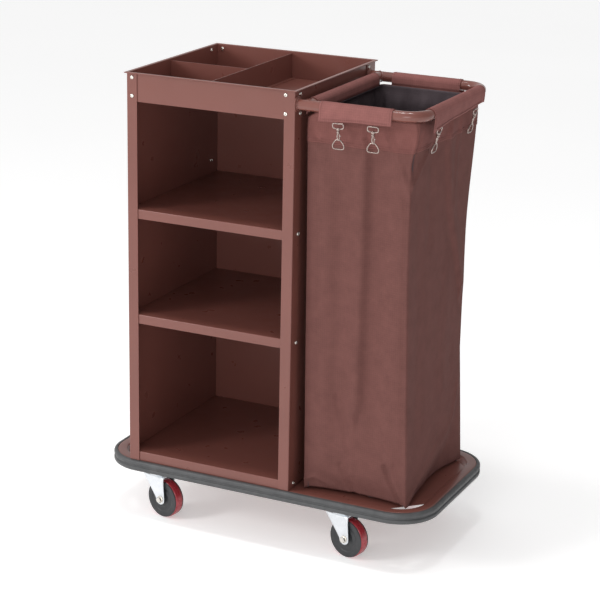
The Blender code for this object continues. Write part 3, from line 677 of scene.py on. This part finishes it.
# Each fold: a line of (place along the face, z), its width, its height and its skew. A negative height is a
# hollow.
FRONT_FOLDS = (
    ([(47, 820), (50, 90)], 27, 6.5, 0.0),
    ([(97, 790), (92, 160)], 22, -5.0, 0.0),
    ([(150, 880), (146, 600), (139, 230)], 27, 10.0, -0.62),
    ([(174, 870), (166, 260)], 15, -4.5, 0.0),
    ([(196, 830), (186, 200)], 22, -4.5, 0.0),
    ([(246, 720), (240, 130)], 24, 5.0, -0.2),
    ([(198, 940), (228, 868), (256, 793)], 8, 5.5, 0.3),
    ([(232, 935), (250, 860)], 14, 3.5, 0.0),
    ([(6, 908), (32, 880)], 6, -4.0, 0.0),
    ([(2, 880), (26, 862)], 7, 3.0, 0.0),
    ([(84, 252), (122, 110)], 9, -4.5, 0.3),
    ([(122, 170), (128, 60)], 8, 3.5, 0.0),
    ([(97, 78), (129, 0)], 7, -6.0, 0.3),
    ([(212, 175), (256, 12)], 13, 5.0, 0.0),
    ([(214, 98), (250, 4)], 6, -7.5, 0.2),
    ([(0, 20), (30, 33), (72, 8)], 8, 5.0, 0.0),
)
RIGHT_FOLDS = (
    ([(78, 862), (40, 826), (4, 795)], 8, 6.0, 0.0),
    ([(16, 915), (9, 840)], 10, -4.5, 0.0),
    ([(190, 890), (234, 709), (288, 599), (334, 480)], 22, 8.0, 0.62),
    ([(266, 900), (262, 700)], 9, 3.5, 0.3),
    ([(120, 880), (126, 640)], 24, -4.0, 0.0),
    ([(60, 760), (66, 200)], 34, -3.5, 0.0),
    ([(250, 520), (236, 240)], 34, 4.0, 0.0),
    ([(345, 210), (304, 126), (209, 92), (117, 58), (10, 2)], 10, 3.0, 0.0),
)
BACK_FOLDS = (
    ([(50, 900), (54, 300)], 30, 5.0, 0.2),
    ([(110, 860), (112, 260)], 26, -4.0, 0.0),
    ([(180, 880), (170, 320)], 28, 5.0, -0.3),
    ([(232, 820), (226, 120)], 22, -4.0, 0.0),
    ([(20, 60), (110, 130), (230, 40)], 22, 5.0, 0.0),
)
LEFT_FOLDS = (
    ([(60, 880), (70, 300)], 34, 3.0, 0.2),
    ([(140, 860), (136, 300)], 30, -4.0, 0.0),
    ([(220, 880), (214, 280)], 34, 3.0, 0.0),
    ([(300, 840), (306, 300)], 30, -4.0, 0.0),
    ([(40, 30), (180, 120), (330, 40)], 26, 3.0, 0.0),
)


FOLDS = (FRONT_FOLDS, RIGHT_FOLDS, BACK_FOLDS, LEFT_FOLDS)


def fold_height(face, s, z):
    """How far the cloth stands out from a face: its folds, and a slight ripple all over."""
    folds = FOLDS[face]
    total = sum(crease(s, z, *fold) for fold in folds)
    ripple = 0.8 * math.sin(0.047 * s + 1.3 * face + 0.004 * z) * math.sin(0.009 * z + 0.7 * face)
    return total + ripple


# Each face, front, right, back and left, and the number of points along it.
COLUMNS = ((0, 72), (1, 84), (2, 54), (3, 60))


def bag_row(z, inset, folds, extra):
    """One level of the bag: points round its outline in mm, closer together near the corners."""
    r = corner_radius(z)
    corners = bag_corners(z)
    row = []
    strength = smooth_step(z, MOUTH_Z, 918) * folds
    for face, count in COLUMNS:
        (ax, ay), (bx, by) = corners[face], corners[(face + 1) % 4]
        length = math.hypot(bx - ax, by - ay)
        tx, ty = (bx - ax) / length, (by - ay) / length
        nx, ny = ty, -tx
        for k in range(count):
            share = k / count
            s = length * (share - 0.6 * math.sin(2 * math.pi * share) / (2 * math.pi))
            near = min(s, length - s)
            pull = shift = 0.0
            if near < r:
                pull = 0.293 * (r - math.sqrt(max(r * r - (r - near) ** 2, 0.0)))
                shift = math.copysign((r - near) / r * pull, length / 2 - s)
            height = fold_height(face, s, z) * strength * min(1.0, 0.4 + near / 30) - inset
            height += extra(face, s, length, z)
            along, out = s + shift, height - pull
            row.append((ax + tx * along + nx * out, ay + ty * along + ny * out))
    return row


def tuck(face, s, length, z):
    """Near the deck the sides curve in under the bag, except at its corners."""
    if face == 1:
        edge = 0.36 * s + 40 * smooth_step(s, 250, 340)
        window = smooth_step(s, 0, 50) * (1 - smooth_step(s, length - 120, length))
        return -min(20.0, 0.30 * max(edge - z, 0.0)) * window
    middle = math.sin(math.pi * s / length) ** 0.6
    return -12 * middle * smooth_step(z, 70, 0) * (0.5 if face == 3 else 1)


def cloth_grid(levels, inset, folds=1.0, lift=None, extra=tuck):
    """Rows of points round the bag at each level, and their UVs in metres along the cloth."""
    rows, uvs = [], []
    for z in levels:
        flat = bag_row(z, inset, folds, extra)
        row, along = [], 0.0
        for k, (x, y) in enumerate(flat):
            row.append(world(x, y, z + (lift(k, z) if lift else 0.0)))
            uvs.append((along, z * MM))
            nx, ny = flat[(k + 1) % len(flat)]
            along += math.hypot(nx - x, ny - y) * MM
        rows.append(row)
    return rows, uvs


def bottom_lift(k, z):
    """The lower edge between the corners stands a few millimetres off the deck."""
    start = 0
    for face, count in COLUMNS:
        if k < start + count:
            s = (k - start) / count
            return (9.5 if face == 0 else 5.0) * math.sin(math.pi * s) ** 0.35 * smooth_step(z, 60, 0)
        start += count
    return 0.0


def put_cloth(name, mesh, material, thickness, offset=-1.0):
    """A smooth sheet of cloth on the cart, its thickness given in mm."""
    item = put(name, mesh, material, smooth=0)
    item.data.shade_smooth()
    change = item.modifiers.new("cloth", "SOLIDIFY")
    change.thickness, change.offset = thickness * MM, offset
    return item


def bag_levels():
    """Heights of the bag's rows, closer together near the deck."""
    levels = [FOOT_Z]
    while levels[-1] < 90:
        levels.append(levels[-1] + 4.5)
    while levels[-1] < MOUTH_Z - 6:
        levels.append(levels[-1] + 6)
    return levels + [MOUTH_Z]


def make_bag_body(levels):
    """The outer cloth with its floor, whose rows shrink from the lifted lower edge to the middle."""
    rows, uvs = cloth_grid(levels, 0.0, lift=bottom_lift)
    rings, flat_from = 8, 2
    centre = world(606, 225, FOOT_Z + 0.8)
    floor_rows = []
    for k in range(1, rings + 1):
        share = 1 - k / (rings + 1)
        floor_rows.append([centre + (p - centre) * share for p in rows[0]])
    highest = world(0, 0, FOOT_Z + 1).z
    for row in floor_rows[flat_from:]:
        for p in row:
            p.z = min(p.z, highest)
    rows = list(reversed(floor_rows)) + rows
    uvs = [(p.x, p.y) for row in reversed(floor_rows) for p in row] + uvs
    mesh = skin("bag_cloth_body", rows, around=True, uvs=uvs)
    faces = [tuple(p.vertices) for p in mesh.polygons] + [tuple(reversed(range(len(rows[0]))))]
    mesh = mesh_of("bag_cloth_body", [v.co.copy() for v in mesh.vertices], faces, uvs)
    body = put_cloth("bag_cloth_body", mesh, CLOTH, 0.8)
    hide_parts("bag_body")
    return body


def lining_folds(face, s, length, z):
    """The lining hangs loose inside the bag, in soft waves."""
    wave = 4.5 * math.sin(0.085 * s + face + 0.004 * z) + 3.0 * math.sin(0.19 * s + 2 * face)
    wave += 2.0 * math.sin(0.041 * s + 0.012 * z)
    return -3.0 + (wave - 8.0) * smooth_step(z, 948, 905) + tuck(face, s, length, z)


BAND_LOW = 876


def make_bag():
    """The bag's body, its lining, the band round its top and the band's two rows of stitches."""
    levels = bag_levels()
    body = make_bag_body(levels)
    rows, uvs = cloth_grid([z for z in levels if z > 2], 3.0, 0.5, extra=lining_folds)
    lining = put_cloth("bag_lining", skin("bag_lining", rows, around=True, uvs=uvs), LINING, 0.6)
    band_levels = [BAND_LOW + k * (MOUTH_Z - 0.5 - BAND_LOW) / 12 for k in range(13)]
    rows, uvs = cloth_grid(band_levels, -1.3)
    band = put_cloth("bag_top_band", skin("bag_top_band", rows, around=True, uvs=uvs), BAND_CLOTH, 1.0)
    rings = [[world(x, y, z) for x, y in bag_row(z, -2.3, 1.0, tuck)] for z in (879.5, 885.0)]
    put("bag_band_stitches", stitches(rings, closed=True), THREAD)


def stitches(lines, closed=False, length=3.2 * MM, gap=1.6 * MM, width=0.45 * MM):
    """Short thread beads along each line."""
    beads = []
    for line in lines:
        points = [Vector(p) for p in line] + ([Vector(line[0])] if closed else [])
        cursor, due = 0.0, 0.0
        for a, b in zip(points, points[1:]):
            span = (b - a).length
            if span < 1e-9:
                continue
            along = (b - a) / span
            while due < cursor + span:
                start = a + along * (due - cursor)
                side = along.orthogonal().normalized()
                other = along.cross(side)
                rows = []
                for share, r in ((0, 0.35), (0.25, 1), (0.75, 1), (1, 0.35)):
                    rows.append([start + along * (length * share) + (side * cosine + other * sine) * width * r
                                 for cosine, sine in circle(5)])
                beads.append(rows)
                due += length + gap
            cursor += span
    points, faces = [], []
    for rows in beads:
        start = len(points)
        points += [p for row in rows for p in row]
        for i in range(3):
            for k in range(5):
                n = (k + 1) % 5
                low = start + i * 5
                faces.append((low + k, low + n, low + 5 + n, low + 5 + k))
    return mesh_of("stitches", points, faces)


# ---------------------------------------------------------------- flaps and hooks

# Each flap: the axis along it, the way out, the tube's place across, its start and end, the hem below the
# tube at each end, and the hem's pull.
FLAPS = {
    "front": ("X", -1, FRONT_Y, 513, 694, 29, 22, 0),
    "back": ("X", 1, BACK_Y, 517, 698, 25, 25, 0),
    "left": ("Y", -1, CROSS_X, 38, 390, 25, 25, 0),
    "right": ("Y", 1, RIGHT_X, 60, 378, 40, 25, 6),
}
# Each hook: its place along the flap, and its ring's top below the tube.
HOOKS = {
    "front": ((562, 32), (649, 30)),
    "back": ((566, 28), (653, 28)),
    "left": ((104, 28), (332, 28)),
    "right": ((104, 39), (334, 36)),
}
# How far each side's hooks lean, and which way they face, in degrees.
LEANS = {"front": 4, "back": 4, "left": 1, "right": 14}
TURNS = {"front": 0, "back": 180, "left": -90, "right": 90}
CLOTH_GAP = 1.2
# How the hem leaves the tube: shares of its depth, and of its way out.
HEM_DROP = ((0.25, 0.12), (0.5, 0.35), (0.75, 0.68), (1.0, 1.0))


def flap_profile(flare, hem, pull):
    """Cloth path over the tube as (across, up) in mm: from inside the bag, over and down to the hem."""
    r = TUBE_R + CLOTH_GAP
    path = [(-r - 0.2, -16.0), (-r - 0.1, -8)]
    path += arc(0, 0, r, 180, 0, 22)
    for down, share in HEM_DROP:
        path.append((r + (flare - pull) * share, -hem * down))
    return path


def flap_shape(side, share):
    """The hem's flare and depth at a place along the flap."""
    _, _, _, start, end, hem_start, hem_end, _ = FLAPS[side]
    edge = min(share, 1 - share) * (end - start)
    flare = 1.0 + 0.8 * math.sin(7.3 * share + 1.1) + 2.2 * math.exp(-edge / 14)
    sag = 0.8 * math.sin(9 * share + (0.4 if side == "front" else 2.0)) + 1.0 * math.exp(-edge / 12)
    return flare, hem_start + (hem_end - hem_start) * share + sag


def flap_point(side, along, across, up):
    """A place given in mm along the flap, out from its tube's axis and up from it."""
    axis, out, middle = FLAPS[side][:3]
    if axis == "X":
        return world(along, middle + out * across, TUBE_Z + up)
    return world(middle + out * across, along, TUBE_Z + up)


def make_flap(side):
    """One flap: cloth over its tube, slightly puffed, made as a thin sheet with a thickness."""
    axis, out, _, start, end, _, _, pull = FLAPS[side]
    count = 72
    rows, uvs = [], []
    for k in range(count + 1):
        share = k / count
        along = start + (end - start) * share
        flare, hem = flap_shape(side, share)
        puff = 0.5 + 0.5 * math.sin(16 * share) * math.sin(5 * share + 1)
        grow = 1 + 0.012 * puff
        run, previous, row = 0.0, None, []
        for a, b in flap_profile(flare, hem, pull):
            point = flap_point(side, along, a * grow, b * grow)
            if previous is not None:
                run += (point - previous).length
            previous = point
            row.append(point)
            uvs.append((along * MM, run))
        rows.append(row)
    if (axis == "X") == (out < 0):
        rows = [list(reversed(row)) for row in rows]
        size = len(rows[0])
        uvs = [uvs[k * size + (size - 1 - j)] for k in range(count + 1) for j in range(size)]
    name = "flap_cloth_" + side
    item = put_cloth(name, skin(name, rows, uvs=uvs), FLAP_CLOTH, 1.3, offset=0.0)
    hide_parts("bag_flap_" + side)
    put("flap_stitches_" + side, stitches(flap_seams(side, count)), THREAD)


def flap_seams(side, count):
    """Two rows of stitches along the hem, and one near each end of the flap."""
    _, _, _, start, end, _, _, pull = FLAPS[side]
    lines = []
    for above in (4.0, 5.8):
        line = []
        for k in range(4, count - 3):
            share = k / count
            flare, hem = flap_shape(side, share)
            across = TUBE_R + CLOTH_GAP + 0.72 * (flare - pull) + 0.95
            line.append(flap_point(side, start + (end - start) * share, across, above - hem))
        lines.append(line)
    margin = 5 / (end - start)
    for share in (margin, 1 - margin):
        flare, hem = flap_shape(side, share)
        along = start + (end - start) * share
        r = TUBE_R + CLOTH_GAP + 1.0
        line = [flap_point(side, along, *place) for place in arc(0, 0, r, 178, 0, 30)]
        for down, out_share in HEM_DROP[:-1]:
            line.append(flap_point(side, along, r + (flare - pull) * out_share, -hem * down))
        lines.append(line)
    return lines


def rounded_ring(corners, radius, steps=5):
    """A closed path through flat (x, z) corners with each corner rounded."""
    path = []
    count = len(corners)
    for k in range(count):
        here, before, after = Vector(corners[k]), Vector(corners[k - 1]), Vector(corners[(k + 1) % count])
        a = here + (before - here).normalized() * radius
        b = here + (after - here).normalized() * radius
        for j in range(steps + 1):
            t = j / steps
            p = a * (1 - t) ** 2 + here * 2 * t * (1 - t) + b * t ** 2
            path.append(Vector((p.x, 0, p.y)))
    return path


def make_hook(side, number, along, below):
    """Snap hook: a flat ring through the hem, a swivel eye, the snap's body and gate, and the ring below."""
    pull = FLAPS[side][-1]
    place = flap_point(side, along, TUBE_R + 2.0 - pull, -below)
    matrix = (Matrix.Translation(place) @ Matrix.Rotation(math.radians(TURNS[side]), 4, "Z")
              @ Matrix.Rotation(math.radians(LEANS[side]), 4, "X"))
    upper = rounded_ring([(-14, 1.0), (14, 1.0), (13, -11), (-13, -11)], 5)
    lower = rounded_ring([(-13.5, -59.5), (13.5, -59.5), (15, -50), (5.5, -37), (-5.5, -37), (-15, -50)], 5)
    meshes = [tube("ring", [p * MM for p in upper], 1.7 * MM, 10, closed=True),
              tube("ring", [p * MM for p in lower], 1.7 * MM, 10, closed=True)]
    swivel = [(-9.4, 0.3), (-9.4, 3.6), (-10.6, 4.6), (-13.6, 4.8), (-15.0, 3.9), (-15.8, 2.6), (-16.6, 2.6),
              (-17.4, 3.8), (-19, 4.2), (-21, 3.4), (-22, 0.3)]
    meshes.append(lathe("swivel", swivel, "Z", 20, closed=False))
    body = [(0, 0, -20), (-1.6, 0, -24), (-2.4, 0, -29), (-1.8, 0, -34), (0, 0, -38.2), (1.6, 0, -38.6)]
    gate = [(1.2, 0, -20.5), (2.8, 0, -24), (3.4, 0, -29), (3.0, 0, -34), (2.0, 0, -37.6)]
    meshes.append(tube("body", [Vector(p) * MM for p in body], 1.9 * MM, 10))
    meshes.append(tube("gate", [Vector(p) * MM for p in gate], 1.2 * MM, 10))
    knob = [(-3, 0.2), (-3, 1.3), (-1, 1.7), (0, 1.2), (0, 0.2)]
    button = lathe("button", knob, "X", 12, closed=False)
    button.transform(Matrix.Translation((6.6 * MM, 0, -28 * MM)))
    meshes.append(button)
    label = f"{side}_{number}"
    item = put("snap_" + label, joined("snap", meshes), NICKEL, matrix=matrix, smooth=60)
    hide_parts("hook_" + label)


def make_flaps_and_hooks():
    for side in FLAPS:
        make_flap(side)
        for number, (along, below) in enumerate(HOOKS[side], 1):
            make_hook(side, number, along, below)


# ---------------------------------------------------------------- floor

def make_floor():
    """A wide pale floor, half a millimetre under the wheels."""
    reach, below = 12, 0.5 * MM
    rows = [[Vector((x, y, -below)) for x in (-reach, reach)] for y in (-reach, reach)]
    mesh = skin("floor", rows)
    mesh.materials.append(floor_material())
    floor = bpy.data.objects.new("floor", mesh)
    bpy.context.scene.collection.objects.link(floor)


make_camera()
make_light()
make_floor()
make_cabinet()
make_screws()
make_base()
make_casters()
make_rails()
make_weld_beads()
make_flanges()
make_bag()
make_flaps_and_hooks()
